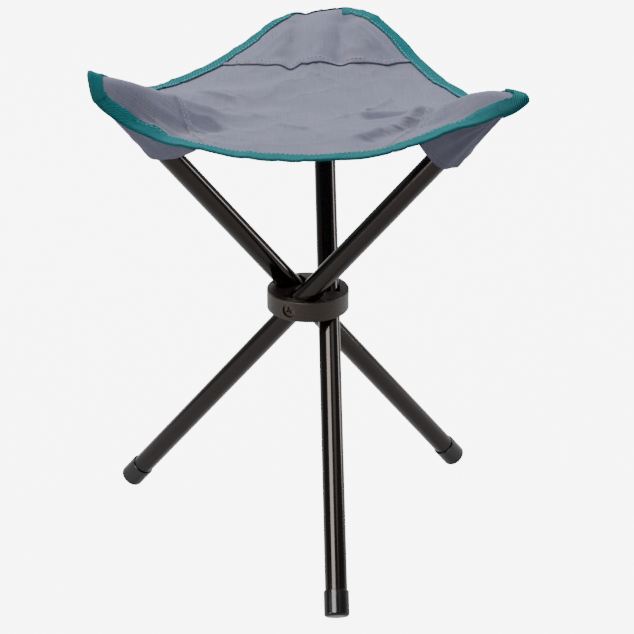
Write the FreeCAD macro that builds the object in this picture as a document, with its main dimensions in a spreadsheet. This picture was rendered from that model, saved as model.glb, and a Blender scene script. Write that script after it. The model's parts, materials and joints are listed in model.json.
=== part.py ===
import FreeCAD, Part
import math
import os
import Sketcher

# A folding three leg stool.  Three tubes cross in a round hub, each on its own
# pivot screw, and a cloth seat holds their upper ends.  +Z is up, +Y is the back,
# and the origin is the floor point under the hub's axis.

App = FreeCAD
document = App.newDocument("three_leg_stool")

# ---------------------------------------------------------------- driving sizes
# millimetres and degrees; each row is alias, value, meaning
driving_sizes = [
    ("tube_radius", 9.5, "outside radius of a leg tube"),
    ("tube_wall", 1.2, "wall of a leg tube"),
    ("lean_angle", 40.0, "angle of an open leg from the vertical"),
    ("leg_offset", 18.2, "distance from the hub axis to the plane a leg swings in"),
    ("upper_length", 262.0, "pivot to the tube's upper end"),
    ("lower_length", 282.0, "pivot to the outside of the foot cap"),
    ("hub_radius", 36.2, "outside radius of the hub"),
    ("hub_height", 18.4, "height of the hub"),
    ("hub_edge", 1.2, "rounding of the hub's outer edges"),
    ("slot_clearance", 0.35, "air between a tube and its slot"),
    ("screw_radius", 3.0, "radius of a pivot screw's shank"),
    ("screw_fit", 0.05, "running clearance round the shank"),
    ("screw_tip", 3.0, "distance from the hub axis to the screw's tip"),
    ("screw_head_radius", 5.6, "radius of the screw's head"),
    ("screw_head_height", 2.6, "height of the screw's head"),
    ("head_seat", 31.6, "distance from the hub axis to the seat of the screw's head"),
    ("head_clearance", 0.4, "air round the screw's head"),
    ("drive_width", 1.5, "width of each slot of the cross recess"),
    ("drive_span", 6.0, "length of each slot of the cross recess"),
    ("drive_depth", 1.7, "depth of the cross recess"),
    ("cap_radius", 10.75, "outside radius of a foot cap"),
    ("cap_length", 22.0, "length of a foot cap"),
    ("cap_floor", 4.0, "thickness of a foot cap under the tube"),
    ("cap_edge", 2.5, "rounding of a foot cap's lower edge"),
    ("cap_lip", 0.6, "rounding of a foot cap's mouth"),
    ("cap_fit", 0.05, "air between a cap and its tube"),
    ("plug_head_radius", 8.6, "radius of a top plug's head"),
    ("plug_head_height", 2.4, "height of a top plug's head"),
    ("plug_stem_length", 14.0, "length of a top plug inside the tube"),
    ("plug_edge", 1.4, "rounding of a top plug's head"),
    ("seat_reach", 285.0, "pivot to the seat's corner, along the leg"),
    ("seat_dip", 48.0, "height from the seat's middle to its corners"),
    ("edge_rise", 4.0, "height from the seat's middle to the middle of an edge"),
    ("corner_radius", 193.0, "hub axis to the outside of a seat corner"),
    ("edge_radius", 143.0, "hub axis to the middle of a seat edge"),
    ("cloth_thickness", 1.6, "thickness of the seat cloth"),
    ("patch_thickness", 1.0, "thickness of a corner patch"),
    ("patch_length", 82.0, "length of a corner patch, from the corner inwards"),
    ("layer_gap", 0.4, "air between two layers of cloth"),
    ("panel_gap", 0.3, "half of the gap between two seat panels"),
    ("binding_width", 2.6, "width of the bound edge outside the cloth"),
    ("binding_thickness", 3.2, "thickness of the bound edge"),
    ("pocket_mouth", 200.0, "pivot to the open end of a pocket, along the leg"),
    ("pocket_end", 256.0, "pivot to the upper end of a pocket"),
    ("pocket_mouth_radius", 17.5, "outside radius of a pocket's mouth"),
    ("pocket_end_radius", 11.8, "outside radius of a pocket's upper end"),
    ("pocket_wall", 1.3, "thickness of a pocket's cloth"),
]

# worked out from the rows above
derived_sizes = [
    ("slot_half", "=tube_radius + slot_clearance", "half of a slot's width"),
    ("slot_slant", "=slot_half / cos(lean_angle * 1deg)", "half of a slot's level width at the hub's middle"),
    ("slot_tangent", "=tan(lean_angle * 1deg)", "sideways run of a leaning leg for each unit of height"),
    ("slot_corner", "=(slot_slant - slot_half) / slot_tangent", "height of the slot's inner corner"),
    ("slot_reach", "=slot_slant + hub_height / 2 * slot_tangent", "half of a slot's length at the hub's face"),
    ("slot_start", "=leg_offset - slot_half", "hub axis to a slot's inner wall"),
    ("slot_depth", "=2 * slot_half", "width of a slot across the leg"),
    ("pivot_hole_radius", "=screw_radius + screw_fit", "radius of the hole for the screw"),
    ("counterbore_radius", "=screw_head_radius + head_clearance", "radius of the screw's counterbore"),
    ("hole_start", "=tube_radius + 1", "tube's middle to where its cross hole starts, outside it"),
    ("tube_inner_radius", "=tube_radius - tube_wall", "inside radius of a leg tube"),
    ("tube_lower_end", "=lower_length - cap_floor", "pivot to the tube's lower end"),
    ("tube_length", "=tube_lower_end + upper_length", "whole length of a tube"),
    ("cap_bore_radius", "=tube_radius + cap_fit", "radius of a cap's bore"),
    ("cap_bore_depth", "=cap_length - cap_floor", "depth of a cap's bore"),
    ("plug_stem_radius", "=tube_inner_radius - cap_fit", "radius of a plug's stem"),
    ("shank_length", "=head_seat - screw_tip", "length of a screw's shank"),
]

sheet = document.addObject("Spreadsheet::Sheet", "sizes")
for row, (alias, value, meaning) in enumerate(driving_sizes + derived_sizes, start=1):
    sheet.set(f"A{row}", alias)
    sheet.set(f"B{row}", str(value))
    sheet.setAlias(f"B{row}", alias)
    sheet.set(f"C{row}", meaning)
document.recompute()


def size(alias):
    return float(getattr(sheet, alias))


# ------------------------------------------------------------------- leg layout
# a leg is named for the seat corner it carries; its angle is the direction, about
# the hub's axis, of its pivot screw
legs = {"back": 0.0, "left": 120.0, "right": 240.0}

lean = math.radians(size("lean_angle"))
# the rounded rim of a foot cap touches the floor, which sets the hub's height
rim_radius = size("cap_radius") - size("cap_edge")
rim_distance = size("lower_length") - size("cap_edge")
hub_level = rim_distance * math.cos(lean) + rim_radius * math.sin(lean) + size("cap_edge")

corner_out = size("seat_reach") * math.sin(lean)
corner_level = hub_level + size("seat_reach") * math.cos(lean)
corner_distance = math.hypot(corner_out, size("leg_offset"))
corner_turn = math.degrees(math.atan2(corner_out, size("leg_offset")))


def leg_placement(leg):
    """Origin on the pivot, local X along the pivot screw, local Z up the leg."""
    turn = App.Rotation(App.Vector(0, 0, 1), legs[leg])
    outward = turn.multVec(App.Vector(size("leg_offset"), 0, hub_level))
    tilt = App.Rotation(App.Vector(1, 0, 0), -size("lean_angle"))
    return App.Placement(outward, turn.multiply(tilt))


def screw_placement(leg):
    """Origin on the hub's axis, local Z outwards along the pivot screw."""
    angle = math.radians(legs[leg])
    outward = App.Vector(math.cos(angle), math.sin(angle), 0)
    return App.Placement(App.Vector(0, 0, hub_level), App.Rotation(App.Vector(0, 0, 1), outward))


def corner_placement(leg):
    """Origin on the floor under the hub's axis, local X towards the seat corner."""
    turn = App.Rotation(App.Vector(0, 0, 1), legs[leg] + corner_turn)
    return App.Placement(App.Vector(0, 0, 0), turn)


# ------------------------------------------------------------ PartDesign helpers
def new_body(label):
    body = document.addObject("PartDesign::Body", label)
    body.Label = label
    return body


def new_sketch(body, name, plane, offset="0"):
    """A sketch on one of the body's own planes, moved along its normal."""
    sketch = body.newObject("Sketcher::SketchObject", f"{body.Name}_{name}")
    origin_plane = next(item for item in body.Origin.OriginFeatures if item.Role == plane)
    sketch.AttachmentSupport = (origin_plane, [""])
    sketch.MapMode = "FlatFace"
    sketch.setExpression("AttachmentOffset.Base.z", offset)
    return sketch


def add_circle(sketch, radius):
    """A circle about the sketch's origin, its radius bound to a cell."""
    circle = Part.Circle(App.Vector(0, 0, 0), App.Vector(0, 0, 1), size(radius))
    index = sketch.addGeometry(circle)
    sketch.addConstraint(Sketcher.Constraint("Coincident", index, 3, -1, 1))
    radius_constraint = sketch.addConstraint(Sketcher.Constraint("Radius", index, size(radius)))
    sketch.setExpression(f"Constraints[{radius_constraint}]", f"sizes.{radius}")


def add_outline(sketch, corners):
    """A closed outline; each corner is a pair of expressions."""
    start = [App.Vector(10 + index, index * index, 0) for index in range(len(corners))]
    count = len(corners)
    for index in range(count):
        sketch.addGeometry(Part.LineSegment(start[index], start[(index + 1) % count]))
    for index in range(count):
        sketch.addConstraint(Sketcher.Constraint("Coincident", index, 2, (index + 1) % count, 1))
    for index, corner in enumerate(corners):
        for kind, expression in zip(("DistanceX", "DistanceY"), corner):
            constraint = Sketcher.Constraint(kind, -1, 1, index, 1, 1.0)
            number = sketch.addConstraint(constraint)
            sketch.setExpression(f"Constraints[{number}]", expression)


def add_feature(body, kind, sketch, length, reverse=False):
    """A Pad or Pocket; the body's volume has to change the right way."""
    before = body.Shape.Volume if body.Tip else 0.0
    feature = body.newObject(f"PartDesign::{kind}", f"{sketch.Name}_{kind}")
    feature.Profile = sketch
    feature.setExpression("Length", length)
    feature.Reversed = reverse
    document.recompute()
    change = body.Shape.Volume - before
    if (kind == "Pad") != (change > 0):
        raise RuntimeError(f"{feature.Name} changed the volume by {change}")
    return feature


def add_pattern(body, features):
    """Three copies about the body's Z axis."""
    before = body.Shape.Volume
    pattern = body.newObject("PartDesign::PolarPattern", f"{body.Name}_Pattern")
    pattern.Originals = features
    axis = next(item for item in body.Origin.OriginFeatures if item.Role == "Z_Axis")
    pattern.Axis = (axis, [""])
    pattern.Angle = 360
    pattern.Occurrences = len(legs)
    body.Tip = pattern
    document.recompute()
    if body.Shape.Volume >= before:
        raise RuntimeError("the pattern cut nothing")


def add_rounding(body, name, radius, keep_edge):
    """A fillet on the edges of the body that keep_edge picks."""
    picked = [f"Edge{number}" for number, edge in enumerate(body.Shape.Edges, start=1) if keep_edge(edge)]
    base = body.Tip
    fillet = body.newObject("PartDesign::Fillet", f"{body.Name}_{name}")
    fillet.Base = (base, picked)
    fillet.setExpression("Radius", f"sizes.{radius}")
    body.Tip = fillet
    document.recompute()


def is_ring(edge, radius, level):
    """True for a whole circle of this radius at this height."""
    curve = edge.Curve
    if not isinstance(curve, Part.Circle):
        return False
    return abs(curve.Radius - radius) < 1e-4 and abs(curve.Center.z - level) < 1e-4


# ------------------------------------------------------------------- hard parts
def make_hub():
    body = new_body("hub")
    disc = new_sketch(body, "disc", "XY_Plane", "-sizes.hub_height / 2")
    add_circle(disc, "hub_radius")
    add_feature(body, "Pad", disc, "sizes.hub_height")
    half = size("hub_height") / 2
    add_rounding(
        body, "edges", "hub_edge",
        lambda edge: is_ring(edge, size("hub_radius"), half) or is_ring(edge, size("hub_radius"), -half),
    )

    # the leg swings between upright and leaning, so the slot is a bow tie from the side
    outline = [
        ("sizes.slot_half", "-sizes.hub_height / 2"),
        ("sizes.slot_half", "-sizes.slot_corner"),
        ("sizes.slot_reach", "sizes.hub_height / 2"),
        ("-sizes.slot_half", "sizes.hub_height / 2"),
        ("-sizes.slot_half", "sizes.slot_corner"),
        ("-sizes.slot_reach", "-sizes.hub_height / 2"),
    ]
    slot = new_sketch(body, "slot", "YZ_Plane", "sizes.slot_start")
    add_outline(slot, outline)
    slot_cut = add_feature(body, "Pocket", slot, "sizes.slot_depth", True)

    hole = new_sketch(body, "hole", "YZ_Plane", "sizes.screw_tip - sizes.screw_fit")
    add_circle(hole, "pivot_hole_radius")
    hole_cut = add_feature(body, "Pocket", hole, "sizes.hub_radius", True)

    bore = new_sketch(body, "counterbore", "YZ_Plane", "sizes.head_seat")
    add_circle(bore, "counterbore_radius")
    bore_cut = add_feature(body, "Pocket", bore, "sizes.hub_radius", True)
    add_pattern(body, [slot_cut, hole_cut, bore_cut])
    body.Placement = App.Placement(App.Vector(0, 0, hub_level), App.Rotation())
    return body


def make_leg_tube(leg):
    body = new_body(f"leg_tube_{leg}")
    section = new_sketch(body, "section", "XY_Plane", "-sizes.tube_lower_end")
    add_circle(section, "tube_radius")
    add_circle(section, "tube_inner_radius")
    add_feature(body, "Pad", section, "sizes.tube_length")
    hole = new_sketch(body, "pivot", "YZ_Plane", "-sizes.hole_start")
    add_circle(hole, "pivot_hole_radius")
    add_feature(body, "Pocket", hole, "2 * sizes.hole_start", True)
    body.Placement = leg_placement(leg)
    return body


def make_foot_cap(leg):
    body = new_body(f"foot_cap_{leg}")
    outside = new_sketch(body, "outside", "XY_Plane", "-sizes.lower_length")
    add_circle(outside, "cap_radius")
    add_feature(body, "Pad", outside, "sizes.cap_length")
    bore = new_sketch(body, "bore", "XY_Plane", "-sizes.tube_lower_end")
    add_circle(bore, "cap_bore_radius")
    add_feature(body, "Pocket", bore, "sizes.cap_bore_depth", True)
    bottom = -size("lower_length")
    mouth = bottom + size("cap_length")
    add_rounding(body, "foot", "cap_edge", lambda edge: is_ring(edge, size("cap_radius"), bottom))
    add_rounding(body, "lip", "cap_lip", lambda edge: is_ring(edge, size("cap_radius"), mouth))
    body.Placement = leg_placement(leg)
    return body


def make_top_plug(leg):
    body = new_body(f"top_plug_{leg}")
    head = new_sketch(body, "head", "XY_Plane", "sizes.upper_length")
    add_circle(head, "plug_head_radius")
    add_feature(body, "Pad", head, "sizes.plug_head_height")
    stem = new_sketch(body, "stem", "XY_Plane", "sizes.upper_length - sizes.plug_stem_length")
    add_circle(stem, "plug_stem_radius")
    add_feature(body, "Pad", stem, "sizes.plug_stem_length")
    top = size("upper_length") + size("plug_head_height")
    add_rounding(body, "dome", "plug_edge", lambda edge: is_ring(edge, size("plug_head_radius"), top))
    body.Placement = leg_placement(leg)
    return body


def make_pivot_screw(leg):
    body = new_body(f"pivot_screw_{leg}")
    shank = new_sketch(body, "shank", "XY_Plane", "sizes.screw_tip")
    add_circle(shank, "screw_radius")
    add_feature(body, "Pad", shank, "sizes.shank_length")
    head = new_sketch(body, "head", "XY_Plane", "sizes.head_seat")
    add_circle(head, "screw_head_radius")
    add_feature(body, "Pad", head, "sizes.screw_head_height")

    top = "sizes.head_seat + sizes.screw_head_height"
    for name, wide, tall in (("level", "drive_span", "drive_width"), ("upright", "drive_width", "drive_span")):
        recess = new_sketch(body, f"recess_{name}", "XY_Plane", top)
        half_wide = f"sizes.{wide} / 2"
        half_tall = f"sizes.{tall} / 2"
        corners = [
            (half_wide, half_tall),
            (f"-{half_wide}", half_tall),
            (f"-{half_wide}", f"-{half_tall}"),
            (half_wide, f"-{half_tall}"),
        ]
        add_outline(recess, corners)
        add_feature(body, "Pocket", recess, "sizes.drive_depth")
    body.Placement = screw_placement(leg)
    return body


# ------------------------------------------------------------------- soft parts
# The seat is a shallow dish.  Seen from above its edge is a rounded triangle, and
# from each corner a ridge runs down to the middle.  One panel is a third of it.
third = 60.0
ridge_rounding = 4.0
ridge_curve = 1.35
panel_start = 4.0
patch_spread = 36.0
samples_across = 17
samples_along = 8


def edge_distance(angle):
    """Hub axis to the cloth's edge, at an angle in degrees from the corner."""
    middle = (size("corner_radius") + size("edge_radius")) / 2
    swing = (size("corner_radius") - size("edge_radius")) / 2
    return middle + swing * math.cos(math.radians(3 * angle)) - size("binding_width")


def seat_level(distance, angle):
    """Height of the seat's top face."""
    middle_level = corner_level - size("seat_dip")
    ridge = middle_level + size("seat_dip") * (distance / corner_distance) ** ridge_curve
    valley = middle_level + size("edge_rise") * distance / size("edge_radius")
    from_ridge = math.hypot(angle, ridge_rounding) - ridge_rounding
    return valley + (ridge - valley) * (1 - from_ridge / third) ** 2


def panel_spread(distance):
    """Angle from a panel's ridge to its side, which leaves a gap to the next panel."""
    return third - math.degrees(size("panel_gap") / distance)


def panel_place(across, along):
    nearest = panel_start + (edge_distance(0) - panel_start) * along
    angle = across * panel_spread(nearest)
    return panel_start + (edge_distance(angle) - panel_start) * along, angle


def patch_place(across, along):
    angle = across * patch_spread
    start = (size("corner_radius") - size("patch_length")) / math.cos(math.radians(angle))
    return start + (edge_distance(angle) - start) * along, angle


def binding_place(across, along):
    angle = across * panel_spread(size("edge_radius"))
    start = edge_distance(angle) + size("layer_gap")
    return start + (size("binding_width") - size("layer_gap")) * along, angle


def cloth_layer(place, top, thickness):
    """A closed layer of cloth.  place gives the distance and angle of a point that
    is -1 to 1 across the panel and 0 to 1 along it; top is a height over the seat."""
    surfaces = []
    for lift in (top, top - thickness):
        grid = []
        for step in range(samples_across):
            row = []
            for number in range(samples_along):
                across = 2 * step / (samples_across - 1) - 1
                distance, angle = place(across, number / (samples_along - 1))
                turn = math.radians(angle)
                level = seat_level(distance, angle) + lift
                row.append(App.Vector(distance * math.cos(turn), distance * math.sin(turn), level))
            grid.append(row)
        surface = Part.BSplineSurface()
        surface.interpolate(grid)
        surfaces.append(surface)

    upper, lower = surfaces
    faces = [upper.toShape(), lower.toShape()]
    first_u, last_u, first_v, last_v = upper.bounds()
    for name, values in (("uIso", (first_u, last_u)), ("vIso", (first_v, last_v))):
        for value in values:
            upper_edge = getattr(upper, name)(value).toShape()
            lower_edge = getattr(lower, name)(value).toShape()
            faces.append(Part.makeRuledSurface(upper_edge, lower_edge))
    shell = Part.Shell(faces)
    shell.sewShape()
    solid = Part.Solid(shell)
    if solid.Volume < 0:
        solid.reverse()
    return solid


def add_cloth(label, leg, shape):
    feature = document.addObject("Part::Feature", label)
    feature.Label = label
    feature.Shape = shape
    feature.Placement = corner_placement(leg)
    return feature


def make_seat_panel(leg):
    shape = cloth_layer(panel_place, 0.0, size("cloth_thickness"))
    return add_cloth(f"seat_panel_{leg}", leg, shape)


def make_corner_patch(leg):
    """The second layer of cloth on a corner; its free edge is straight across the ridge."""
    thickness = size("patch_thickness")
    shape = cloth_layer(patch_place, size("layer_gap") + thickness, thickness)
    return add_cloth(f"corner_patch_{leg}", leg, shape)


def make_seat_binding(leg):
    """The folded tape round the cloth's edge."""
    thickness = size("binding_thickness")
    top = (thickness - size("cloth_thickness")) / 2
    return add_cloth(f"seat_binding_{leg}", leg, cloth_layer(binding_place, top, thickness))


def make_cone(label, lower_radius, upper_radius):
    cone = document.addObject("Part::Cone", label)
    cone.setExpression("Radius1", lower_radius)
    cone.setExpression("Radius2", upper_radius)
    cone.setExpression("Height", "sizes.pocket_end - sizes.pocket_mouth")
    cone.setExpression("Placement.Base.z", "sizes.pocket_mouth")
    return cone


def make_leg_pocket(leg):
    """The tapered sleeve of cloth under a corner, open at both ends, round its tube."""
    mouth = "sizes.pocket_mouth_radius"
    end = "sizes.pocket_end_radius"
    wall = "sizes.pocket_wall"
    pocket = document.addObject("Part::Cut", f"leg_pocket_{leg}")
    pocket.Label = f"leg_pocket_{leg}"
    pocket.Base = make_cone(f"pocket_outside_{leg}", mouth, end)
    pocket.Tool = make_cone(f"pocket_inside_{leg}", f"{mouth} - {wall}", f"{end} - {wall}")
    pocket.Placement = leg_placement(leg)
    return pocket


# ------------------------------------------------------------------ the assembly
def make_parts():
    parts = [make_hub()]
    makers = [
        make_leg_tube,
        make_foot_cap,
        make_top_plug,
        make_pivot_screw,
        make_seat_panel,
        make_corner_patch,
        make_seat_binding,
        make_leg_pocket,
    ]
    for leg in legs:
        for maker in makers:
            parts.append(maker(leg))
    document.recompute()
    return parts


def check_parts(parts):
    for item in document.Objects:
        if "Invalid" in item.State or "Error" in item.State:
            raise RuntimeError(f"{item.Name} failed: {item.State}")
    for part in parts:
        shape = part.Shape
        if shape.isNull() or not shape.isValid() or shape.Volume <= 0:
            raise RuntimeError(f"{part.Label} has no valid solid")


def write_parts(parts):
    os.makedirs("parts", exist_ok=True)
    for part in parts:
        part.Shape.exportStep(os.path.join("parts", f"{part.Label}.step"))
        print(f"{part.Label}: {part.Shape.Volume / 1000:.2f} cm3, {len(part.Shape.Solids)} solid")


all_parts = make_parts()
check_parts(all_parts)
write_parts(all_parts)
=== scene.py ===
import json
import math
import bpy
import bmesh
from mathutils import Matrix, Vector, noise


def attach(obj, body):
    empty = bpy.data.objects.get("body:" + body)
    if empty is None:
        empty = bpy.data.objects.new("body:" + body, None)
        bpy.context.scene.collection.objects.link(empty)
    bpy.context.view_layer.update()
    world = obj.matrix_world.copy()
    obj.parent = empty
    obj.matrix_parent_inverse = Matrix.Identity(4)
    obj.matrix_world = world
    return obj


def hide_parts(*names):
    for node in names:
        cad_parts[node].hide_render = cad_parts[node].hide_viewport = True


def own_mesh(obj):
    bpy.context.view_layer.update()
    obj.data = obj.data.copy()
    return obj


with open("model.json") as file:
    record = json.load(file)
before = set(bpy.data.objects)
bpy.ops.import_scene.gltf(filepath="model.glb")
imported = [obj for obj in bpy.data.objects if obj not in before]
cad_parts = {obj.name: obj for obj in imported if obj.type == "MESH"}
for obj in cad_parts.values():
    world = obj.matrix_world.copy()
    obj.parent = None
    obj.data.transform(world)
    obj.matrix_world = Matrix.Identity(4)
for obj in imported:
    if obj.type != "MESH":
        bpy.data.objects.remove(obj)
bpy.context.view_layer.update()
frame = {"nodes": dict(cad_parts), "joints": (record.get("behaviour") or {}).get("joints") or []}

cornerNames = ("back", "left", "right")
mm = 0.001

# each corner of the seat is where its leg carries the cloth: the pivot of its gather joint
cornerPoint = {}
for joint in frame["joints"]:
    if joint["name"].startswith("gather_"):
        cornerPoint[joint["name"][7:]] = Vector(joint["pos_m"]) / mm
tipTurn = {name: math.degrees(math.atan2(p.y, p.x)) % 360 for name, p in cornerPoint.items()}


def smoothStep(start, end, x):
    t = min(max((x - start) / (end - start), 0), 1)
    return t * t * (3 - 2 * t)


def through(points, x):
    # a smooth curve through (x, y) points, level at both ends
    x = min(max(x, points[0][0]), points[-1][0])
    last = len(points) - 1
    i = 0
    while i < last - 1 and x > points[i + 1][0]:
        i += 1
    slopes = []
    for k in (i, i + 1):
        if k in (0, last):
            slopes.append(0)
        else:
            rise = points[k + 1][1] - points[k - 1][1]
            slopes.append(rise / (points[k + 1][0] - points[k - 1][0]))
    span = points[i + 1][0] - points[i][0]
    t = (x - points[i][0]) / span
    start = points[i][1] * (1 + 2 * t) * (1 - t) ** 2 + slopes[0] * span * t * (1 - t) ** 2
    end = points[i + 1][1] * t * t * (3 - 2 * t) + slopes[1] * span * t * t * (t - 1)
    return start + end


def finishPiece(bm, name, body, materials, sharpAngle=40):
    bmesh.ops.remove_doubles(bm, verts=bm.verts, dist=1e-6)
    bm.normal_update()
    for face in bm.faces:
        face.smooth = True
    for edge in bm.edges:
        if edge.is_manifold and edge.calc_face_angle(0) > math.radians(sharpAngle):
            edge.smooth = False
    mesh = bpy.data.meshes.new(name)
    bm.to_mesh(mesh)
    bm.free()
    for material in materials:
        mesh.materials.append(material)
    piece = bpy.data.objects.new(name, mesh)
    bpy.context.scene.collection.objects.link(piece)
    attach(piece, body)
    return piece


def colour(text):
    # sRGB hex to the linear values the shaders take
    values = [int(text[i:i + 2], 16) / 255 for i in (1, 3, 5)]
    return tuple(v / 12.92 if v <= 0.04045 else ((v + 0.055) / 1.055) ** 2.4 for v in values) + (1,)


def addNode(tree, kind, settings=None, **links):
    # settings are properties or input values; links are inputs, by name or as i0, i1, i2, with their sources
    node = tree.nodes.new(kind)
    for key, value in (settings or {}).items():
        if isinstance(key, str) and hasattr(node, key):
            setattr(node, key, value)
        else:
            node.inputs[key].default_value = value
    for key, source in links.items():
        target = node.inputs[int(key[1:])] if key[0] == "i" and key[1:].isdigit() else node.inputs[key]
        tree.links.new(source, target)
    return node


def startMaterial(name, settings):
    material = bpy.data.materials.new(name)
    material.use_nodes = True
    tree = material.node_tree
    shader = tree.nodes["Principled BSDF"]
    for key, value in settings.items():
        shader.inputs[key].default_value = value
    return material, tree, shader


def addRamp(tree, source, stops):
    ramp = addNode(tree, "ShaderNodeValToRGB", i0=source)
    elements = ramp.color_ramp.elements
    while len(elements) < len(stops):
        elements.new(0.5)
    for element, (place, value) in zip(elements, stops):
        element.position = place
        element.color = value
    return ramp.outputs["Color"]


def grey(value):
    return (value, value, value, 1)


enamel = {
    "colour": "#050404",
    "peelSize": 2.2,       # mm, the orange peel of a baked coat
    "peelDepth": 0.006,    # mm
}


def enamelMaterial():
    # black powder enamel over steel: deep black with long, nearly sharp highlights
    material, tree, shader = startMaterial("black_baked_enamel", {
        "Base Color": colour(enamel["colour"]),
        "IOR": 1.5,
        "Specular IOR Level": 0.3,
        "Specular Tint": colour("#ffe9da"),
        "Coat Weight": 0.22,
        "Coat Roughness": 0.05,
    })
    place = addNode(tree, "ShaderNodeTexCoord").outputs["Object"]
    peel = addNode(
        tree, "ShaderNodeTexNoise", {"Scale": 1 / (enamel["peelSize"] * mm), "Detail": 2}, Vector=place
    )
    rub = addNode(tree, "ShaderNodeTexNoise", {"Scale": 28, "Detail": 4, "Roughness": 0.6}, Vector=place)
    tree.links.new(
        addRamp(tree, rub.outputs["Fac"], [(0.35, grey(0.11)), (0.7, grey(0.2))]),
        shader.inputs["Roughness"],
    )
    bump = addNode(
        tree,
        "ShaderNodeBump",
        {"Strength": 0.5, "Distance": enamel["peelDepth"] * mm},
        Height=peel.outputs["Fac"],
    )
    tree.links.new(bump.outputs["Normal"], shader.inputs["Normal"])
    return material


hubNylon = {
    "colour": "#161311",
    "worn": "#352e29",
    "lineStep": 1.9,       # mm between the turned lines round the band, drawn wider than the real 0.6
    "lineDepth": 0.12,     # mm
}


def hubMaterial():
    # black glass-filled nylon, moulded in a turned tool: satin, fine level lines, warm grey haze
    material, tree, shader = startMaterial("black_moulded_nylon", {
        "Roughness": 0.4,
        "IOR": 1.53,
        "Specular Tint": colour("#ffeee0"),
    })
    place = addNode(tree, "ShaderNodeTexCoord").outputs["Object"]
    height = addNode(tree, "ShaderNodeSeparateXYZ", Vector=place).outputs["Z"]
    turns = addNode(
        tree,
        "ShaderNodeMath",
        {"operation": "MULTIPLY", 1: 2 * math.pi / (hubNylon["lineStep"] * mm)},
        i0=height,
    )
    wave = addNode(tree, "ShaderNodeMath", {"operation": "SINE"}, i0=turns.outputs[0])
    level = addNode(tree, "ShaderNodeMath", {"operation": "MULTIPLY_ADD"}, i0=wave.outputs[0])
    level.inputs[1].default_value = 0.5
    level.inputs[2].default_value = 0.5
    mottle = addNode(tree, "ShaderNodeTexNoise", {"Scale": 60, "Detail": 5, "Roughness": 0.6}, Vector=place)
    grain = addNode(tree, "ShaderNodeTexNoise", {"Scale": 1500, "Detail": 2}, Vector=place)
    tone = addNode(tree, "ShaderNodeMix", {"data_type": "RGBA"}, Factor=mottle.outputs["Fac"])
    tone.inputs["A"].default_value = colour(hubNylon["colour"])
    tone.inputs["B"].default_value = colour(hubNylon["worn"])
    tree.links.new(tone.outputs["Result"], shader.inputs["Base Color"])
    tree.links.new(
        addRamp(tree, mottle.outputs["Fac"], [(0.3, grey(0.34)), (0.7, grey(0.48))]),
        shader.inputs["Roughness"],
    )
    fine = addNode(
        tree, "ShaderNodeBump", {"Strength": 0.35, "Distance": 0.03 * mm}, Height=grain.outputs["Fac"]
    )
    lines = addNode(
        tree,
        "ShaderNodeBump",
        {"Strength": 1.0, "Distance": hubNylon["lineDepth"] * mm},
        Height=level.outputs[0],
        Normal=fine.outputs["Normal"],
    )
    tree.links.new(lines.outputs["Normal"], shader.inputs["Normal"])
    return material


def mouldedMaterial(name, base, worn, roughness, grainSize):
    # soft black plastic from a spark-eroded mould: even matt grain, greyer where it is handled
    material, tree, shader = startMaterial(name, {"IOR": 1.49})
    place = addNode(tree, "ShaderNodeTexCoord").outputs["Object"]
    grain = addNode(tree, "ShaderNodeTexNoise", {"Scale": 1 / (grainSize * mm), "Detail": 3}, Vector=place)
    haze = addNode(tree, "ShaderNodeTexNoise", {"Scale": 45, "Detail": 5, "Roughness": 0.65}, Vector=place)
    edge = addNode(tree, "ShaderNodeNewGeometry").outputs["Pointiness"]
    handled = addRamp(tree, edge, [(0.5, grey(0)), (0.58, grey(1))])
    amount = addNode(tree, "ShaderNodeMath", {"operation": "MAXIMUM"}, i0=haze.outputs["Fac"], i1=handled)
    tone = addNode(tree, "ShaderNodeMix", {"data_type": "RGBA"}, Factor=amount.outputs[0])
    tone.inputs["A"].default_value = colour(base)
    tone.inputs["B"].default_value = colour(worn)
    tree.links.new(tone.outputs["Result"], shader.inputs["Base Color"])
    tree.links.new(
        addRamp(tree, haze.outputs["Fac"], [(0.3, grey(roughness - 0.06)), (0.7, grey(roughness + 0.08))]),
        shader.inputs["Roughness"],
    )
    bump = addNode(
        tree, "ShaderNodeBump", {"Strength": 0.4, "Distance": 0.05 * mm}, Height=grain.outputs["Fac"]
    )
    tree.links.new(bump.outputs["Normal"], shader.inputs["Normal"])
    return material


def screwMaterial():
    # blackened steel, oiled: dark metal with a brown cast and fine scuffs
    material, tree, shader = startMaterial("blackened_steel", {"Metallic": 1.0})
    place = addNode(tree, "ShaderNodeTexCoord").outputs["Object"]
    scuff = addNode(
        tree,
        "ShaderNodeTexNoise",
        {"Scale": 700, "Detail": 6, "Roughness": 0.7, "Distortion": 1.5},
        Vector=place,
    )
    tree.links.new(
        addRamp(tree, scuff.outputs["Fac"], [(0.35, colour("#2a2420")), (0.75, colour("#6a5f58"))]),
        shader.inputs["Base Color"],
    )
    tree.links.new(
        addRamp(tree, scuff.outputs["Fac"], [(0.3, grey(0.42)), (0.8, grey(0.24))]),
        shader.inputs["Roughness"],
    )
    bump = addNode(
        tree, "ShaderNodeBump", {"Strength": 0.3, "Distance": 0.02 * mm}, Height=scuff.outputs["Fac"]
    )
    tree.links.new(bump.outputs["Normal"], shader.inputs["Normal"])
    return material


cloth = {
    "colour": "#83849a",
    "shade": "#7c7d92",
    "warm": "#8f8890",
    "threadStep": 1.15,    # mm; the real threads lie 0.5 mm apart, drawn coarser so that they show
    "threadDepth": 0.045,  # mm
}


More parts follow.
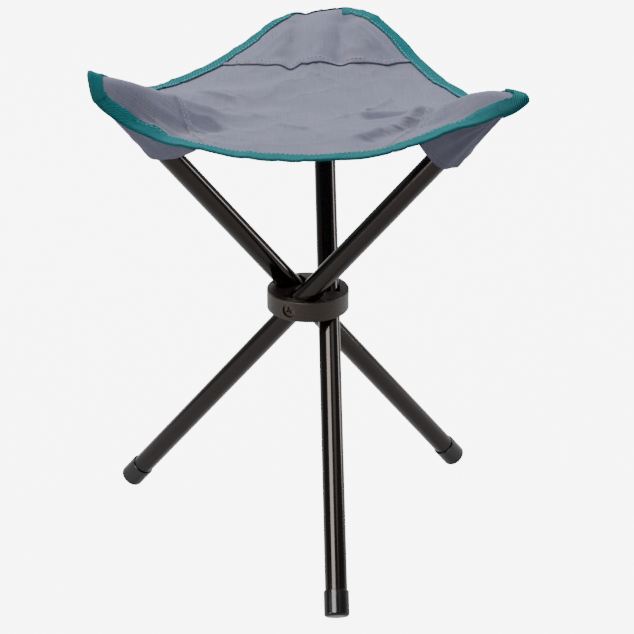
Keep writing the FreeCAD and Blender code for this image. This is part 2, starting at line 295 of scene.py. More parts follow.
def clothMaterial(name, base, shade, warm):
    # plain-woven 600 denier polyester: matt, slightly hairy, a faint sheen where it turns away,
    # threads of slightly different tone and a dust-warm cast in places
    material, tree, shader = startMaterial(name, {
        "IOR": 1.45,
        "Roughness": 0.82,
        "Sheen Weight": 0.06,
        "Sheen Roughness": 0.4,
        "Sheen Tint": colour("#c9c9de"),
        "Specular IOR Level": 0.22,
    })
    flat = addNode(tree, "ShaderNodeUVMap", {"uv_map": "flat"}).outputs["UV"]
    parts = addNode(tree, "ShaderNodeSeparateXYZ", Vector=flat)
    waves = []
    for axis in ("X", "Y"):
        turns = addNode(tree, "ShaderNodeMath", {"operation": "MULTIPLY"}, i0=parts.outputs[axis])
        turns.inputs[1].default_value = math.pi / (cloth["threadStep"] * mm)
        waves.append(addNode(tree, "ShaderNodeMath", {"operation": "SINE"}, i0=turns.outputs[0]).outputs[0])
    over = addNode(tree, "ShaderNodeMath", {"operation": "MULTIPLY"}, i0=waves[0], i1=waves[1])
    weave = addNode(tree, "ShaderNodeMath", {"operation": "MULTIPLY_ADD"}, i0=over.outputs[0])
    weave.inputs[1].default_value = 0.5
    weave.inputs[2].default_value = 0.5
    slubs = []
    for stretch in ((30, 900, 1), (900, 30, 1)):
        mapping = addNode(tree, "ShaderNodeMapping", {"Scale": stretch}, Vector=flat)
        slubs.append(
            addNode(
                tree, "ShaderNodeTexNoise", {"Scale": 1, "Detail": 3}, Vector=mapping.outputs[0]
            ).outputs["Fac"]
        )
    slub = addNode(tree, "ShaderNodeMath", {"operation": "ADD"}, i0=slubs[0], i1=slubs[1])
    blotch = addNode(tree, "ShaderNodeTexNoise", {"Scale": 17, "Detail": 4, "Roughness": 0.6}, Vector=flat)
    dusty = addNode(
        tree,
        "ShaderNodeTexNoise",
        {"Scale": 31, "Detail": 5, "Roughness": 0.65, "Distortion": 0.8},
        Vector=flat,
    )
    crumple = addNode(tree, "ShaderNodeTexNoise", {"Scale": 75, "Detail": 4, "Roughness": 0.55}, Vector=flat)
    tone = addNode(
        tree,
        "ShaderNodeMix",
        {"data_type": "RGBA"},
        Factor=addRamp(tree, blotch.outputs["Fac"], [(0.35, grey(0)), (0.65, grey(1))]),
    )
    tone.inputs["A"].default_value = colour(shade)
    tone.inputs["B"].default_value = colour(base)
    dust = addNode(
        tree,
        "ShaderNodeMix",
        {"data_type": "RGBA"},
        Factor=addRamp(tree, dusty.outputs["Fac"], [(0.52, grey(0)), (0.8, grey(0.55))]),
        A=tone.outputs["Result"],
    )
    dust.inputs["B"].default_value = colour(warm)
    threads = addRamp(tree, slub.outputs[0], [(0.75, grey(0.9)), (1, grey(1.08))])
    thready = addNode(
        tree,
        "ShaderNodeMix",
        {"data_type": "RGBA", "blend_type": "MULTIPLY"},
        A=dust.outputs["Result"],
        B=threads,
    )
    thready.inputs["Factor"].default_value = 1.0
    # painted shade: the base colour darkens in the weave's hollows, where its bump is low
    weaveHollowShade = addRamp(tree, weave.outputs[0], [(0.0, grey(0.78)), (0.6, grey(1.04))])
    woven = addNode(
        tree,
        "ShaderNodeMix",
        {"data_type": "RGBA", "blend_type": "MULTIPLY"},
        A=thready.outputs["Result"],
        B=weaveHollowShade,
    )
    woven.inputs["Factor"].default_value = 0.8
    tree.links.new(woven.outputs["Result"], shader.inputs["Base Color"])
    soft = addNode(
        tree, "ShaderNodeBump", {"Strength": 0.45, "Distance": 0.5 * mm}, Height=crumple.outputs["Fac"]
    )
    bump = addNode(
        tree,
        "ShaderNodeBump",
        {"Strength": 0.5, "Distance": cloth["threadDepth"] * mm},
        Height=weave.outputs[0],
        Normal=soft.outputs["Normal"],
    )
    tree.links.new(bump.outputs["Normal"], shader.inputs["Normal"])
    return material


tape = {
    "colour": "#00646d",
    # shade is the painted shade between the ribs, light the painted highlight on their crowns
    "shade": "#003a43",
    "light": "#069ba3",
    "ribStep": 2.3,        # mm between the slanting ribs, drawn coarser than the real 0.8
    "ribDepth": 0.16,      # mm
    "width": 12.5,         # mm over the cloth, the same again beneath it
    "thinFrom": -6.4,      # degrees either side of the back tip, where its edge rolls out of sight
    "thinTo": 12,
    "thinShare": 0.34,
    "tipSwell": {"back": 0.5, "left": 0.6, "right": 2.2},    # mm that a tip's turned ends stand out
}


def tapeMaterial():
    # twill-woven polyester binding: slanting ribs, with painted highlight on their crowns and painted shade
    # between them
    material, tree, shader = startMaterial("teal_twill_tape", {
        "IOR": 1.45,
        "Roughness": 0.7,
        "Sheen Weight": 0.02,
        "Sheen Roughness": 0.35,
        "Sheen Tint": colour("#a0e0dc"),
        "Specular IOR Level": 0.16,
    })
    flat = addNode(tree, "ShaderNodeUVMap", {"uv_map": "flat"}).outputs["UV"]
    parts = addNode(tree, "ShaderNodeSeparateXYZ", Vector=flat)
    slant = addNode(
        tree,
        "ShaderNodeMath",
        {"operation": "MULTIPLY_ADD"},
        i0=parts.outputs["Y"],
        i2=parts.outputs["X"],
    )
    slant.inputs[1].default_value = 1.4
    turns = addNode(tree, "ShaderNodeMath", {"operation": "MULTIPLY"}, i0=slant.outputs[0])
    turns.inputs[1].default_value = 2 * math.pi / (tape["ribStep"] * mm)
    wave = addNode(tree, "ShaderNodeMath", {"operation": "SINE"}, i0=turns.outputs[0])
    rib = addNode(tree, "ShaderNodeMath", {"operation": "MULTIPLY_ADD"}, i0=wave.outputs[0])
    rib.inputs[1].default_value = 0.5
    rib.inputs[2].default_value = 0.5
    blotch = addNode(tree, "ShaderNodeTexNoise", {"Scale": 60, "Detail": 4, "Roughness": 0.6}, Vector=flat)
    fleck = addNode(tree, "ShaderNodeTexNoise", {"Scale": 900, "Detail": 3}, Vector=flat)
    mixed = addNode(
        tree, "ShaderNodeMath", {"operation": "MULTIPLY_ADD"}, i0=fleck.outputs["Fac"], i2=rib.outputs[0]
    )
    mixed.inputs[1].default_value = 0.3
    # the rib height, with random flecks, picks painted shade, the tape's colour or painted highlight
    ribs = addRamp(
        tree,
        mixed.outputs[0],
        [(0.3, colour(tape["shade"])), (0.7, colour(tape["colour"])), (1, colour(tape["light"]))],
    )
    tone = addNode(
        tree,
        "ShaderNodeMix",
        {"data_type": "RGBA", "blend_type": "MULTIPLY"},
        A=ribs,
        B=addRamp(tree, blotch.outputs["Fac"], [(0.3, grey(0.86)), (0.7, grey(1.06))]),
    )
    tone.inputs["Factor"].default_value = 1.0
    tree.links.new(tone.outputs["Result"], shader.inputs["Base Color"])
    bump = addNode(
        tree,
        "ShaderNodeBump",
        {"Strength": 0.6, "Distance": tape["ribDepth"] * mm},
        Height=mixed.outputs[0],
    )
    tree.links.new(bump.outputs["Normal"], shader.inputs["Normal"])
    return material


def threadMaterial(name, base):
    # spun polyester sewing thread: a soft light line, twisted
    material, tree, shader = startMaterial(name, {
        "Roughness": 0.6,
        "Sheen Weight": 0.2,
        "Sheen Roughness": 0.4,
    })
    place = addNode(tree, "ShaderNodeTexCoord").outputs["Object"]
    twist = addNode(tree, "ShaderNodeTexNoise", {"Scale": 900, "Detail": 2}, Vector=place)
    dark = tuple(v * 0.7 for v in colour(base)[:3]) + (1,)
    tree.links.new(
        addRamp(tree, twist.outputs["Fac"], [(0.35, dark), (0.65, colour(base))]),
        shader.inputs["Base Color"],
    )
    return material


print("materials")
enamelBlack = enamelMaterial()
nylonBlack = hubMaterial()
capBlack = mouldedMaterial("black_soft_pvc", "#080707", "#141312", 0.2, 1.2)
plugBlack = mouldedMaterial("black_moulded_polyethylene", "#161616", "#2c2b2a", 0.42, 0.7)
steelDark = screwMaterial()
seatGrey = clothMaterial("grey_woven_polyester", cloth["colour"], cloth["shade"], cloth["warm"])
# a darker copy of the seat cloth for the pouches: painted shade for where they hang under the seat
pouchShadedGrey = clothMaterial("grey_woven_polyester_painted_shade", "#7c7d90", "#727386", "#85808a")
tealTape = tapeMaterial()
clothThread = threadMaterial("grey_sewing_thread", "#b9b6c2")
darkThread = threadMaterial("dark_grey_sewing_thread", "#34343f")
tapeThread = threadMaterial("pale_teal_sewing_thread", "#9fd6cf")

for name, node in frame["nodes"].items():
    node.data.materials.clear()
    if name == "hub":
        node.data.materials.append(nylonBlack)
    elif name.startswith("leg_tube"):
        node.data.materials.append(enamelBlack)
    elif name.startswith("foot_cap"):
        node.data.materials.append(capBlack)
    elif name.startswith("top_plug"):
        node.data.materials.append(plugBlack)
    elif name.startswith("pivot_screw"):
        node.data.materials.append(steelDark)
    else:
        node.data.materials.append(seatGrey)


# All in mm.  An edge row is (angle from the corner's ridge, distance from the hub's axis,
# height over the seat's middle); a ridge row is (distance, height).
seatCloth = {
    "middle": 392.2,
    "midSlope": 0.0333,
    "thickness": 0.5,
    "columns": 92,
    "rows": 56,
    "foldAngle": 69.897,     # how far a corner turns as the stool folds
    "pull": 2.4,             # how fast the edge's height takes over from the ridge's
    "softness": {"back": 13, "left": 4.5, "right": 5},
    "edge": {
        "back": [
            (-60, 141, 4.7), (-48, 146, 7), (-36, 156, 14), (-24, 171, 27), (-14, 183, 40),
            (-8, 189, 43), (-4, 191, 42), (-1, 190.5, 40.4), (2, 190, 38.8), (4, 189.5, 36.6),
            (6, 188.5, 38.2), (8, 187, 38), (14, 180, 31), (24, 167, 17),
            (36, 154, 8), (48, 145, 5), (60, 141, 4.7),
        ],
        "left": [
            (-60, 141, 4.7), (-48, 142, 8), (-36, 150, 12.5), (-24, 157, 15.5), (-14, 166, 20),
            (-8, 178, 36), (-4, 189, 54.5), (-1, 193.5, 58.5), (1, 195.5, 53.5), (4, 196, 39.5),
            (6, 188, 29), (8, 177.5, 21), (14, 159, 9.5), (24, 150, 6.5),
            (36, 144, 5), (48, 141.5, 4.2), (60, 141, 4.7),
        ],
        "right": [
            (-60, 141, 4.7), (-48, 142, 5.5), (-36, 149, 10), (-24, 156, 15), (-14, 165, 21),
            (-8, 177, 27), (-4, 192, 35), (-2, 200, 40), (0, 205, 46.5), (2, 199, 46),
            (4, 189, 41), (8, 177, 28),
            (14, 166, 18), (24, 157, 12), (36, 148, 8), (48, 140.5, 6), (60, 141, 4.7),
        ],
    },
    "ridge": {
        "back": [
            (0, 0), (40, 2), (80, 9), (110, 18), (135, 28), (155, 36), (170, 40), (184, 42.5), (205, 43)
        ],
        "left": [
            (0, 0), (40, 2), (80, 10), (110, 20), (135, 31), (155, 41), (170, 46.5), (184, 51), (205, 57)
        ],
        "right": [
            (0, 0), (40, 2), (80, 10), (110, 20), (135, 31), (155, 40), (170, 45), (184, 47), (210, 46)
        ],
    },
}
edgeReaches = {name: [(a, r) for a, r, z in rows] for name, rows in seatCloth["edge"].items()}
edgeRises = {name: [(a, z) for a, r, z in rows] for name, rows in seatCloth["edge"].items()}


# single folds in the cloth, in mm seen from above: a ridge is positive, a groove negative
seatFolds = [
    {"start": (46, -20), "end": (98, -37), "height": 4.9, "width": 6},
    {"start": (50, -31), "end": (92, -47), "height": -3.5, "width": 6},
    {"start": (38, -91), "end": (107, -46), "height": 3.8, "width": 6},
    {"start": (48, -98), "end": (112, -66), "height": -3.5, "width": 8},
    {"start": (16, -30), "end": (50, -8), "height": 2, "width": 3.5},
    {"start": (50, -8), "end": (71, 22), "height": 2, "width": 3.5},
    {"start": (-24, -38), "end": (-5, -53), "height": 2.2, "width": 3},
    {"start": (-92, 34), "end": (-65, 27), "height": 2.6, "width": 4.5},
    {"start": (-59, 21), "end": (-45, -19), "height": 1.6, "width": 3.5},
    {"start": (-96, 24), "end": (-14, 66), "height": 3.8, "width": 15},
    {"start": (-100, -20), "end": (-30, 22), "height": -3.2, "width": 14},
    {"start": (-112, -82), "end": (-78, -60), "height": -4.1, "width": 8},
    {"start": (-130, -40), "end": (-84, -34), "height": 3.5, "width": 8},
    {"start": (40, 160), "end": (33, 104), "height": -3.0, "width": 8},
    {"start": (-18, 118), "end": (-12, 96), "height": -2.6, "width": 6},
    {"start": (66, 118), "end": (80, 96), "height": -2.3, "width": 7},
]


def cornerAt(turn):
    # the corner that this direction from the axis belongs to, and the angle from its ridge
    nearest = min(cornerNames, key=lambda name: abs((turn - tipTurn[name] + 180) % 360 - 180))
    return nearest, (turn - tipTurn[nearest] + 180) % 360 - 180


knownReaches = {}


def edgeReach(turn):
    key = round(turn, 4)
    if key not in knownReaches:
        corner, angle = cornerAt(turn)
        knownReaches[key] = through(edgeReaches[corner], angle)
    return knownReaches[key]


def creases(corner, angle, reach):
    # the small rise and fall that a hung cloth has: slack waves, pull lines fanning from each tip
    turn = math.radians(angle + tipTurn[corner])
    x = reach * math.cos(turn)
    y = reach * math.sin(turn)
    slack = noise.noise(Vector((x / 55, y / 55, 3.1))) * 2.6
    slack += noise.noise(Vector((x / 24, y / 24, 8.4))) * 1.0
    sharp = 1 - abs(noise.noise(Vector((x / 38 + 0.3 * slack, y / 46, 5.7)))) * 5
    slack += max(sharp, 0) ** 2 * 0.9
    away = math.radians(angle)
    along = cornerPoint[corner].xy.length - reach * math.cos(away)
    aside = reach * math.sin(away)
    fromTip = math.hypot(along, aside)
    fan = math.degrees(math.atan2(aside, along))
    strength = smoothStep(14, 45, fromTip) * (1 - smoothStep(70, 150, fromTip))
    pull = 1 - abs(noise.noise(Vector((fan / 9, fromTip / 160, tipTurn[corner])))) * 2.6
    pulled = max(pull, 0) ** 2 * 1.3 * strength
    rib = 2.6 * math.exp(-(aside / 8) ** 2) - 4.6 * math.exp(-((abs(aside) - 20) / 7.5) ** 2)
    over = smoothStep(84, 118, reach) * (1 - smoothStep(168, 189, reach))
    folds = 0
    for fold in seatFolds:
        start = Vector(fold["start"])
        run = Vector(fold["end"]) - start
        part = (Vector((x, y)) - start).dot(run) / run.length_squared
        off = (Vector((x, y)) - start - run * min(max(part, 0), 1)).length
        folds += fold["height"] * math.exp(-(off / fold["width"]) ** 2)
    return slack * smoothStep(8, 40, reach) + pulled + rib * over * (1 if corner == "back" else 0.45) + folds


def seatRise(turn, reach):
    corner, angle = cornerAt(turn)
    soft = seatCloth["softness"][corner]
    fromRidge = (math.hypot(angle, soft) - soft) / (math.hypot(60, soft) - soft)
    fall = max(1 - fromRidge, 0) ** 2
    slope = seatCloth["midSlope"]
    ridge = seatCloth["ridge"][corner]
    outer = through(edgeReaches[corner], angle)
    hung = slope * reach + (through(ridge, reach) - slope * reach) * fall
    hungOuter = slope * outer + (through(ridge, outer) - slope * outer) * fall
    short = through(edgeRises[corner], angle) - hungOuter
    return hung + short * (reach / outer) ** seatCloth["pull"] + creases(corner, angle, reach)


knownSpots = {}


def seatBase(turn, reach):
    key = (round(turn, 4), round(reach, 4))
    if key not in knownSpots:
        a = math.radians(turn)
        height = seatCloth["middle"] + seatRise(turn, reach)
        knownSpots[key] = Vector((reach * math.cos(a), reach * math.sin(a), height))
    return knownSpots[key]


def seatNormal(turn, reach):
    reach = max(reach, 2)
    swing = math.degrees(0.7 / reach)
    across = seatBase(turn + swing, reach) - seatBase(turn - swing, reach)
    outward = seatBase(turn, reach + 0.7) - seatBase(turn, reach - 0.7)
    return outward.cross(across).normalized()


def seatPoint(turn, reach, lift):
    return seatBase(turn, reach) + seatNormal(turn, reach) * lift


def flatPlace(turn, reach):
    # where a point of the cloth lies when the cloth is flat, in metres
    a = math.radians(turn)
    stretched = math.hypot(reach, seatRise(turn, reach)) * mm
    return stretched * math.cos(a), stretched * math.sin(a)


def clothPiece(name, place, columns, rows, body, material):
    # a closed piece of cloth: place turns (across -1..1, along 0..1, is it the top) into a point in mm
    # and its place in the flat cloth in metres
    bm = bmesh.new()
    bmesh.ops.create_grid(bm, x_segments=columns, y_segments=rows, size=1)
    bmesh.ops.solidify(bm, geom=bm.faces[:], thickness=0.05)
    bmesh.ops.recalc_face_normals(bm, faces=bm.faces[:])
    middle = sum(v.co.z for v in bm.verts) / len(bm.verts)
    flat = bm.loops.layers.uv.new("flat")
    flatPlaces = {}
    for vert in bm.verts:
        point, flatPlaces[vert] = place(vert.co.x, (vert.co.y + 1) / 2, vert.co.z > middle)
        vert.co = point * mm
    for face in bm.faces:
        for loop in face.loops:
            loop[flat].uv = flatPlaces[loop.vert]
    return finishPiece(bm, name, body, [material])


def gatherWith(piece):
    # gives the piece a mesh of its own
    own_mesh(piece)


# the seat cloth: three thirds, joined along the lines between the corners
def widen(across, most):
    # columns lie closer together near the tip
    return most * (0.45 * across + 0.55 * across ** 3)


def makeSeatThird(corner):
    tip = tipTurn[corner]

    def place(across, along, top):
        turn = tip + widen(across, 60)
        reach = edgeReach(turn if abs(across) < 1 else tip + 60 * across) * along
        lift = 0 if top else -seatCloth["thickness"]
        return seatPoint(turn, reach, lift), flatPlace(turn, reach)

    piece = clothPiece(
        "seat_cloth_" + corner,
        place,
        seatCloth["columns"],
        seatCloth["rows"],
        "seat_" + corner,
        seatGrey,
    )
    # the same normals on both sides of a joining line, so that the thirds read as one cloth
    mesh = piece.data
    normals = []
    for face in mesh.polygons:
        for i in face.vertices:
            spot = mesh.vertices[i].co / mm
            normal = seatNormal(math.degrees(math.atan2(spot.y, spot.x)), math.hypot(spot.x, spot.y))
            side = face.normal.dot(normal)
            if side > 0.5:
                normals.append(normal)
            elif side < -0.5:
                normals.append(-normal)
            else:
                normals.append(face.normal.copy())
    mesh.normals_split_custom_set(normals)
    return piece


# corner patches: a second layer over each corner, its free edge turned under and stitched
cornerPatch = {
    "length": {"back": 76, "left": 77, "right": 80},     # mm from the tip to the free edge
    "bow": {"back": 21, "left": 1, "right": -2},          # mm that its middle hangs further in
    "spread": {"back": 42, "left": 38, "right": 39},
    "thickness": 0.42,
    "hemWidth": 6,
    "rows": {"back": (5.2,), "left": (1.9, 5.2), "right": (1.9, 5.2)},    # mm in from the free edge
    "hemLift": 1.1,
    "wave": {"back": 0.9, "left": 2.2, "right": 2.2},
    "slant": {"back": -3, "left": 0, "right": 0},         # mm that the free edge tips over
}


def hemReach(corner, angle):
    straight = cornerPoint[corner].xy.length + 9 - cornerPatch["length"][corner]
    wave = cornerPatch["wave"][corner] * noise.noise(Vector((angle / 9, tipTurn[corner], 0.5)))
    wave += cornerPatch["slant"][corner] * angle / cornerPatch["spread"][corner]
    bow = cornerPatch["bow"][corner] * (1 - (angle / cornerPatch["spread"][corner]) ** 2)
    return straight / math.cos(math.radians(angle)) - bow + wave


def makePatch(corner):
    tip = tipTurn[corner]
    spread = cornerPatch["spread"][corner]

    def place(across, along, top):
        angle = spread * across
        outer = edgeReach(tip + angle) - 1.2
        start = min(hemReach(corner, angle), outer - 0.5)
        reach = start + (outer - start) * along ** 1.3
        fromHem = reach - start
        hem = 1 - smoothStep(cornerPatch["hemWidth"], cornerPatch["hemWidth"] + 2, fromHem)
        hem *= smoothStep(6, 17, edgeReach(tip + angle) - reach)    # pressed flat under the tape
        rim = smoothStep(-0.6, 0.9, fromHem)
        lift = 0.08
        if top:
            lift += (cornerPatch["thickness"] + cornerPatch["hemLift"] * hem) * (0.6 + 0.4 * rim)
        else:
            lift += cornerPatch["hemLift"] * hem * 0.45
        return seatPoint(tip + angle, reach, lift), flatPlace(tip + angle, reach)

    return clothPiece(
        "corner_patch_cloth_" + corner, place, 72, 40, "seat_" + corner, seatGrey
    )


# the pouch under each corner that the leg's end pushes into
pouch = {
    "mouth": {"back": 74, "left": 71, "right": 80},      # mm down the leg from the corner
    "mouthAngle": {"back": 25, "left": 27, "right": 23},
    "slack": 12.3,           # mm from the leg's middle to the cloth at the mouth
    "endSlack": 11,
    "thickness": 0.5,
    "hemWidth": 5,
    "hemLift": 0.9,
}
legLean = math.radians(40)


def pouchBase(corner, across, along):
    tip = tipTurn[corner]
    out = Vector((math.cos(math.radians(tip)), math.sin(math.radians(tip)), 0))
    down = -(out * math.sin(legLean) + Vector((0, 0, math.cos(legLean))))
    below = out * math.cos(legLean) - Vector((0, 0, math.sin(legLean)))
    most = pouch["mouth"][corner] * (1 - 0.06 * noise.noise(Vector((across * 2.1, tip, 0.3))))
    length = most + (2 - most) * along
    slack = pouch["slack"] + (pouch["endSlack"] - pouch["slack"]) * along
    under = cornerPoint[corner] + down * length + below * slack
    angle = pouch["mouthAngle"][corner] * (1 - along) + 3 * along
    sides = [seatPoint(tip + s * angle, edgeReach(tip + s * angle) - 0.7, -1.2) for s in (-1, 1)]
    share = (across + 1) / 2
    hung = 1 - (math.hypot(across, 0.2) - 0.2) ** 1.45 / (math.hypot(1, 0.2) - 0.2) ** 1.45
    point = sides[0] * (1 - share) + sides[1] * share + (under - (sides[0] + sides[1]) / 2) * hung
    ripple = noise.noise(Vector((across * 3.5, along * 1.6, tip))) * 3.2 * (1 - across ** 2)
    return point + below * ripple


def pouchPoint(corner, across, along, lift):
    step = 0.01
    alongWay = pouchBase(corner, across, along + step) - pouchBase(corner, across, along - step)
    acrossWay = pouchBase(corner, across + step, along) - pouchBase(corner, across - step, along)
    outward = acrossWay.cross(alongWay).normalized()
    return pouchBase(corner, across, along) + outward * lift


def makePouch(corner):
    def place(across, along, top):
        # the outer side of the pouch is the grid's top
        fromHem = along * pouch["mouth"][corner]
        hem = 1 - smoothStep(pouch["hemWidth"], pouch["hemWidth"] + 1.5, fromHem)
        lift = pouch["thickness"] + pouch["hemLift"] * hem if top else 0
        flat = (across * 62 * (1.05 - along) * mm, along * pouch["mouth"][corner] * mm)
        return pouchPoint(corner, across, along * 0.985 + 0.005, lift), flat

    return clothPiece("leg_pouch_" + corner, place, 60, 40, "seat_" + corner, pouchShadedGrey)


# the tape bound over the seat's edge
def tapeProfile(width, extra):
    # the section of the folded tape, (distance in from the cloth's edge, lift off the cloth)
    outer = [
        (width, 1.35), (width - 0.4, 1.6), (width * 0.6, 1.3), (2.0, 1.15), (0.4, 1.05), (-0.6, 0.6),
        (-0.95, -0.25), (-0.6, -1.1), (0.4, -1.55), (2.0, -1.7), (width * 0.6, -1.75), (width - 0.4, -1.8),
        (width, -1.6),
    ]
    inner = [
        (width - 0.3, -1.4), (2.0, -1.3), (0.6, -1.1), (-0.35, -0.25), (0.6, 0.62), (2.0, 0.72),
        (width - 0.3, 1.1),
    ]
    swell = [(0, 0.5), (0, 0.9), (0, 1), (0, 1), (-0.35, 0.94), (-0.8, 0.62), (-1, 0)]
    swell += [(-0.8, -0.62), (-0.35, -0.94), (0, -1), (0, -1), (0, -0.9), (0, -0.5)]
    grown = [(a + c * extra, b + d * extra) for (a, b), (c, d) in zip(outer, swell)]
    return grown + inner + grown[:1]


def edgeFrame(turn):
    # the edge's point, the level way in from it evened out over a few degrees, and the cloth's normal
    inwards = Vector((0, 0, 0))
    for near in (turn - 2, turn, turn + 2):
        along = seatBase(near + 1.1, edgeReach(near + 1.1)) - seatBase(near - 1.1, edgeReach(near - 1.1))
        inwards += seatNormal(near, edgeReach(near) - 0.8).cross(along).normalized()
    reach = edgeReach(turn)
    return seatBase(turn, reach), inwards.normalized(), seatNormal(turn, reach - 0.8)


def tapeShare(turn):
    corner, angle = cornerAt(turn)
    if corner != "back":
        return 1
    narrowed = smoothStep(tape["thinFrom"] - 0.8, tape["thinFrom"], angle)
    thin = narrowed * (1 - smoothStep(7.5, tape["thinTo"], angle))
    return 1 - (1 - tape["thinShare"]) * thin


def tapePoint(turn, inward, lift):
    here, inwards, up = edgeFrame(turn)
    if inward > 0 and lift > 0:
        inward *= tapeShare(turn)
    if inward <= 0:
        return here + inwards * inward + up * lift
    spot = here + inwards * inward
    over = seatBase(math.degrees(math.atan2(spot.y, spot.x)), math.hypot(spot.x, spot.y))
    return over + up * lift


def sweepTape(bm, turns, profile, flatLayer):
    # runs the folded section along the edge and closes both ends
    columns = len(turns) - 1
    rows = len(profile) - 1
    made = bmesh.ops.create_grid(bm, x_segments=columns, y_segments=rows, size=1)["verts"]
    spots = {}
    run = [0]
    for a, b in zip(turns, turns[1:]):
        run.append(run[-1] + (edgeFrame(b)[0] - edgeFrame(a)[0]).length)
    around = [0]
    for (a, b), (c, d) in zip(profile, profile[1:]):
        around.append(around[-1] + math.hypot(c - a, d - b))
    flats = {}
    for vert in made:
        i = round((vert.co.x + 1) / 2 * columns)
        j = round((vert.co.y + 1) / 2 * rows)
        spots[vert] = tapePoint(turns[i], *profile[j]) * mm
        flats[vert] = (run[i] * mm, around[j] * mm)
    for vert, spot in spots.items():
        vert.co = spot
    faces = {face for vert in made for face in vert.link_faces}
    for face in faces:
        for loop in face.loops:
            loop[flatLayer].uv = flats[loop.vert]
    bmesh.ops.remove_doubles(bm, verts=made, dist=1e-6)
    ends = [edge for edge in bm.edges if edge.is_boundary]
    bmesh.ops.holes_fill(bm, edges=ends, sides=0)


def makeTape(corner):
    tip = tipTurn[corner]
    bm = bmesh.new()
    flatLayer = bm.loops.layers.uv.new("flat")
    profile = tapeProfile(tape["width"], 0)
    for side in (-1, 1):
        count = 70
        turns = [tip + side * (3.2 + 56.8 * (i / count) ** 1.35) for i in range(count + 1)]
        sweepTape(bm, turns if side > 0 else turns[::-1], profile, flatLayer)
    bmesh.ops.recalc_face_normals(bm, faces=bm.faces[:])
    return finishPiece(bm, "edge_tape_" + corner, "seat_" + corner, [tealTape], 50)


def makeTipTape(corner):
    tip = tipTurn[corner]
    bm = bmesh.new()
    flatLayer = bm.loops.layers.uv.new("flat")
    turns = [tip - 4.1 + 8.2 * i / 40 for i in range(41)]
    sweepTape(bm, turns, tapeProfile(10.5, tape["tipSwell"][corner]), flatLayer)
    bmesh.ops.recalc_face_normals(bm, faces=bm.faces[:])
    return finishPiece(bm, "tip_tape_" + corner, "seat_" + corner, [tealTape], 50)


stitch = {"length": 2.5, "step": 3.6, "thick": 0.34}


def sewRow(bm, points, upAt):
    # short capsules laid along a line of points, each on its own bit of cloth
    travelled = 0.0
    for here, there in zip(points, points[1:]):
        step = (there - here).length
        travelled += step
        if travelled < stitch["step"]:
            continue
        travelled = 0.0
        along = (there - here).normalized()
        up = upAt(here)
        side = up.cross(along).normalized()
        up = along.cross(side)
        size = (stitch["length"] / 2, stitch["thick"], stitch["thick"] * 0.8)
        spot = Matrix.Translation(here * mm)
        turn = Matrix((along, side, up)).transposed().to_4x4()
        shape = Matrix.Diagonal((size[0] * mm, size[1] * mm, size[2] * mm, 1))
        bmesh.ops.create_uvsphere(bm, u_segments=6, v_segments=4, radius=1, matrix=spot @ turn @ shape)


def makeStitches(corner):
    tip = tipTurn[corner]

    def upAt(point):
        return seatNormal(math.degrees(math.atan2(point.y, point.x)), math.hypot(point.x, point.y))

    bm = bmesh.new()
    for side in (-1, 1):
        turns = [tip + side * (9 + 51 * i / 420) for i in range(421)]
        sewRow(bm, [tapePoint(turn, tape["width"] - 1.9, 1.55) for turn in turns], upAt)
    tapeRow = finishPiece(bm, "tape_stitches_" + corner, "seat_" + corner, [tapeThread])

    bm = bmesh.new()
    spread = cornerPatch["spread"][corner]
    hemTop = cornerPatch["thickness"] + cornerPatch["hemLift"] * 0.9 + 0.15
    for inset in cornerPatch["rows"][corner]:
        line = []
        for i in range(401):
            angle = spread * 0.93 * (i / 200 - 1)
            reach = hemReach(corner, angle) + inset
            if reach < edgeReach(tip + angle) - 14:
                line.append(seatPoint(tip + angle, reach, hemTop))
        sewRow(bm, line, upAt)
    patchThread = darkThread if corner == "back" else clothThread
    patchRow = finishPiece(bm, "patch_stitches_" + corner, "seat_" + corner, [patchThread])

    bm = bmesh.new()
    along = (pouch["hemWidth"] - 0.6) / pouch["mouth"][corner] + 0.005
    lift = pouch["thickness"] + pouch["hemLift"] * 0.7
    points = [pouchPoint(corner, i / 220 - 0.97, along, lift) for i in range(428)]
    middle = cornerPoint[corner]
    sewRow(bm, points, lambda point: (point - middle).normalized())
    pouchRow = finishPiece(bm, "pouch_stitches_" + corner, "seat_" + corner, [darkThread])
    return tapeRow, patchRow, pouchRow


for corner in cornerNames:
    print("seat corner", corner)
    third = makeSeatThird(corner)
    patch = makePatch(corner)
    pocket = makePouch(corner)
    edging = makeTape(corner)
    tipBand = makeTipTape(corner)
    tapeRow, patchRow, pouchRow = makeStitches(corner)
    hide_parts("seat_panel_" + corner)
    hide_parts("corner_patch_" + corner)
    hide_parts("leg_pocket_" + corner)
    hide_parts("seat_binding_" + corner)
    for piece in (third, patch, pocket, edging, tipBand, tapeRow, patchRow, pouchRow):
        gatherWith(piece)


studio = {
    "floor": "#a9a9ab",
    "floorGlow": 8.0,        # how bright the lit paper sweep looks
    "floorShine": 0.6,       # how bright it is in the stool's reflections
    "backdrop": "#f4f4f5",
    "backdropStrength": 9.0,
    "sky": "#f6f7fa",
    "skyStrength": 0.16,
    "skyShine": 0.14,        # more of it in reflections
    # name, place in m, width, height, watts; each is aimed at the stool
    "lamps": [
        ("overhead_softbox", (-0.45, 1.15, 2.3), 1.7, 1.7, 74),
        ("left_softbox", (-2.1, -1.1, 0.5), 0.6, 0.9, 13),
        ("right_softbox", (2.3, 0.6, 1.1), 0.4, 2.0, 24),
        ("front_softbox", (1.3, -1.4, 2.3), 1.2, 0.8, 5),
    ],
    # seen in gloss only: it draws the long highlight down an enamelled tube
    "strip": ("highlight_strip", (-0.78, -1.2, 1.55), 1.1, 1.3, 58),
}


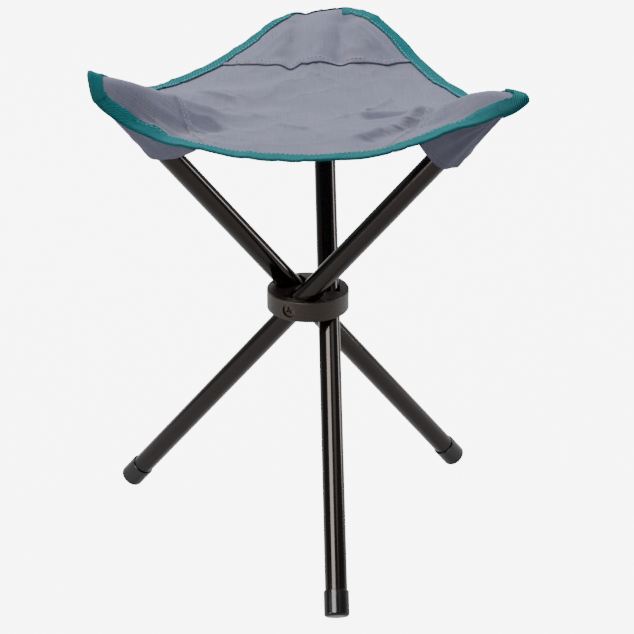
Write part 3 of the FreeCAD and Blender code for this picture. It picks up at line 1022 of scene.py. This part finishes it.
def makeStudio():
    # the paper and the air behind it look white to the eye but light the stool softly
    material, tree, shader = startMaterial("matt_paper_sweep", {
        "Roughness": 0.9,
        "Base Color": colour(studio["floor"]),
        "Emission Color": colour(studio["backdrop"]),
    })
    ray = addNode(tree, "ShaderNodeLightPath").outputs
    shine = addNode(
        tree,
        "ShaderNodeMath",
        {"operation": "MULTIPLY", 1: studio["floorShine"]},
        i0=ray["Is Glossy Ray"],
    )
    glow = addNode(
        tree,
        "ShaderNodeMath",
        {"operation": "MULTIPLY_ADD", 1: studio["floorGlow"]},
        i0=ray["Is Camera Ray"],
        i2=shine.outputs[0],
    )
    tree.links.new(glow.outputs[0], shader.inputs["Emission Strength"])
    bm = bmesh.new()
    bmesh.ops.create_grid(bm, x_segments=1, y_segments=1, size=8)
    mesh = bpy.data.meshes.new("floor")
    bm.to_mesh(mesh)
    bm.free()
    mesh.materials.append(material)
    floor = bpy.data.objects.new("floor", mesh)
    bpy.context.scene.collection.objects.link(floor)
    world = bpy.data.worlds.new("studio")
    world.use_nodes = True
    tree = world.node_tree
    sky = tree.nodes["Background"]
    sky.inputs["Color"].default_value = colour(studio["sky"])
    backdrop = addNode(
        tree,
        "ShaderNodeBackground",
        {"Color": colour(studio["backdrop"]), "Strength": studio["backdropStrength"]},
    )
    ray = addNode(tree, "ShaderNodeLightPath").outputs
    level = addNode(
        tree,
        "ShaderNodeMath",
        {"operation": "MULTIPLY_ADD", 1: studio["skyShine"], 2: studio["skyStrength"]},
        i0=ray["Is Glossy Ray"],
    )
    tree.links.new(level.outputs[0], sky.inputs["Strength"])
    both = addNode(
        tree, "ShaderNodeMixShader", i0=ray["Is Camera Ray"], i1=sky.outputs[0], i2=backdrop.outputs[0]
    )
    tree.links.new(both.outputs[0], tree.nodes["World Output"].inputs["Surface"])
    bpy.context.scene.world = world
    for name, place, width, height, watts in studio["lamps"] + [studio["strip"]]:
        light = bpy.data.lights.new(name, "AREA")
        light.shape = "RECTANGLE"
        light.size = width
        light.size_y = height
        light.energy = watts
        lamp = bpy.data.objects.new(name, light)
        lamp.location = place
        lamp.rotation_mode = "QUATERNION"
        lamp.rotation_quaternion = (Vector((0, 0, 0.25)) - Vector(place)).to_track_quat("-Z", "Y")
        lamp.visible_diffuse = name != studio["strip"][0]
        bpy.context.scene.collection.objects.link(lamp)


shot = {"place": (-0.05975, -1.5937, 0.89516), "turn": (66.5283, -0.2144, -2.3446), "lens": 111.43}


def makeCamera():
    data = bpy.data.cameras.new("camera")
    data.sensor_width = 36
    data.lens = shot["lens"]
    data.clip_start = 0.05
    data.clip_end = 50
    camera = bpy.data.objects.new("camera", data)
    camera.location = shot["place"]
    camera.rotation_euler = [math.radians(a) for a in shot["turn"]]
    bpy.context.scene.collection.objects.link(camera)
    bpy.context.scene.camera = camera


print("studio")
makeStudio()
makeCamera()
